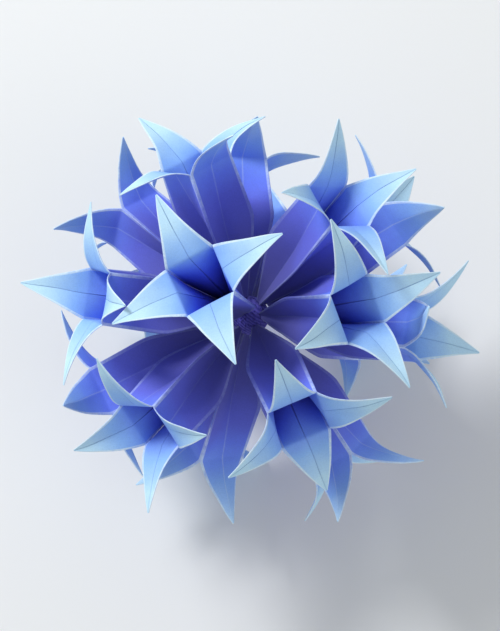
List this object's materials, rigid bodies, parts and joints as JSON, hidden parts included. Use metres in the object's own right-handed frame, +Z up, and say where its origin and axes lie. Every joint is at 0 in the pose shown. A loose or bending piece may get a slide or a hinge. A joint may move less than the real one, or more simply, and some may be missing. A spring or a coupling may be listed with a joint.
{
  "type": "kusudama paper ball",
  "caption": "Kusudama ball of folded paper florets with curled pointed petals, bound at the middle by a thread and standing on petal tips.",
  "frame": {"origin": "on the table, under the middle of the ball's box", "axes": "+Z up as the ball stands on its petal tips, -Y towards the viewer of the picture, +X to the viewer's right"},
  "size_m": [0.1118, 0.0988, 0.0959],
  "materials": {
    "dyed_paper": "matt dyed craft paper, deep violet blue in the funnels, pale blue at the petals, with pale creases and edges",
    "thread": "matt sewing thread, wound and knotted"
  },
  "bodies": {
    "root": {"floret_01": "dyed_paper", "floret_02": "dyed_paper", "floret_03": "dyed_paper", "floret_04": "dyed_paper", "floret_05": "dyed_paper", "floret_06": "dyed_paper", "floret_07": "dyed_paper", "floret_08": "dyed_paper", "floret_09": "dyed_paper", "floret_10": "dyed_paper", "floret_11": "dyed_paper", "floret_12": "dyed_paper", "floret_13": "dyed_paper", "floret_14": "dyed_paper", "floret_15": "dyed_paper", "floret_16": "dyed_paper", "floret_17": "dyed_paper", "binding_thread": "thread"}
  },
  "joints": []
}
